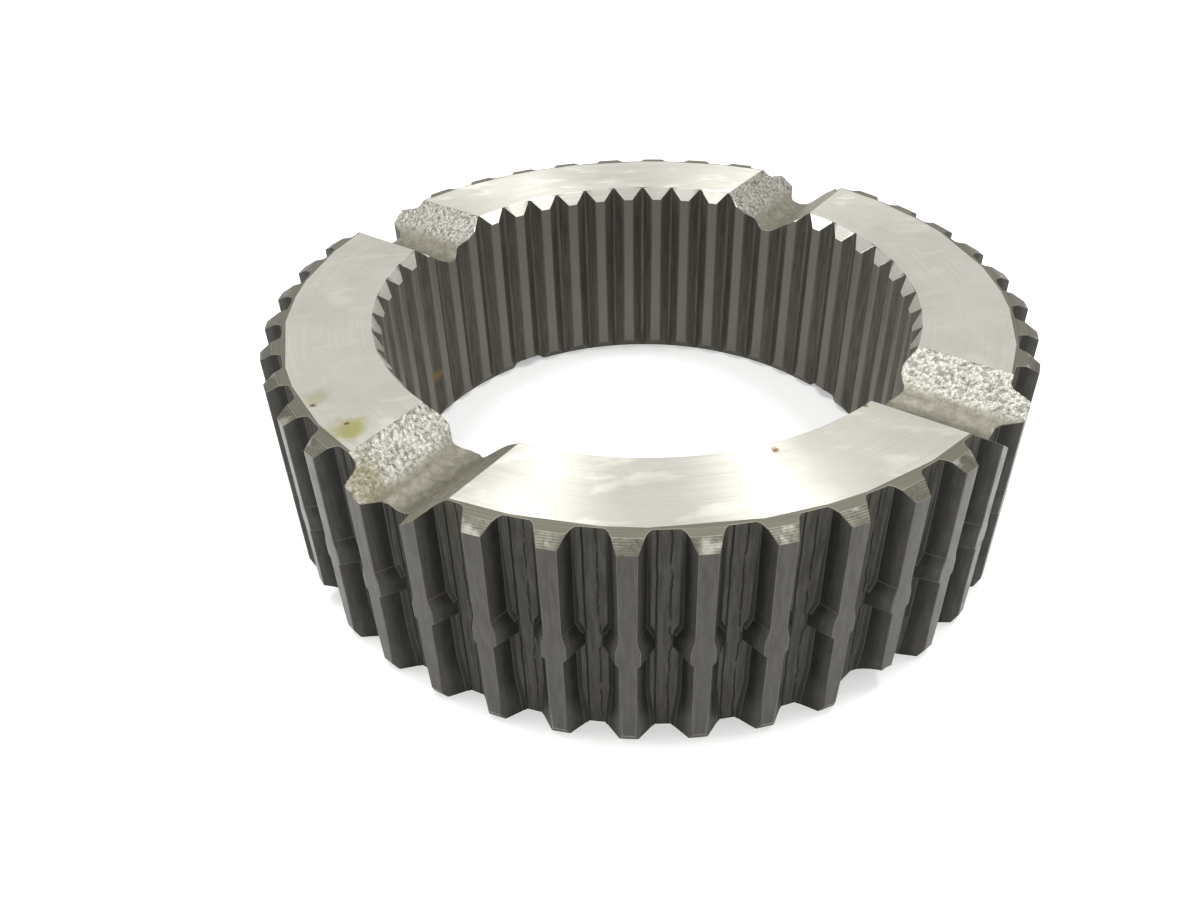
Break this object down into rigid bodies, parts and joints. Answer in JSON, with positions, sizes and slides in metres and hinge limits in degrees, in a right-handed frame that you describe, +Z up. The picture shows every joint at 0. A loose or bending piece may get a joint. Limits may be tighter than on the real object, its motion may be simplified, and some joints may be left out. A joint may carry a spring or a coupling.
{
  "type": "splined clutch ring",
  "caption": "One-piece sliding clutch ring with outer and inner splines, four notches across its top face and padded outer teeth.",
  "frame": {"origin": "on the ring's axis, at the level of its underside", "axes": "+Z up along the ring's axis to the notched top face, +X through the middle of a top notch"},
  "size_m": [0.1298, 0.1298, 0.0384],
  "materials": {
    "steel": "machined end faces, dark as-formed teeth, rough notch slopes"
  },
  "bodies": {
    "root": {"clutch_ring": "steel"}
  },
  "joints": []
}
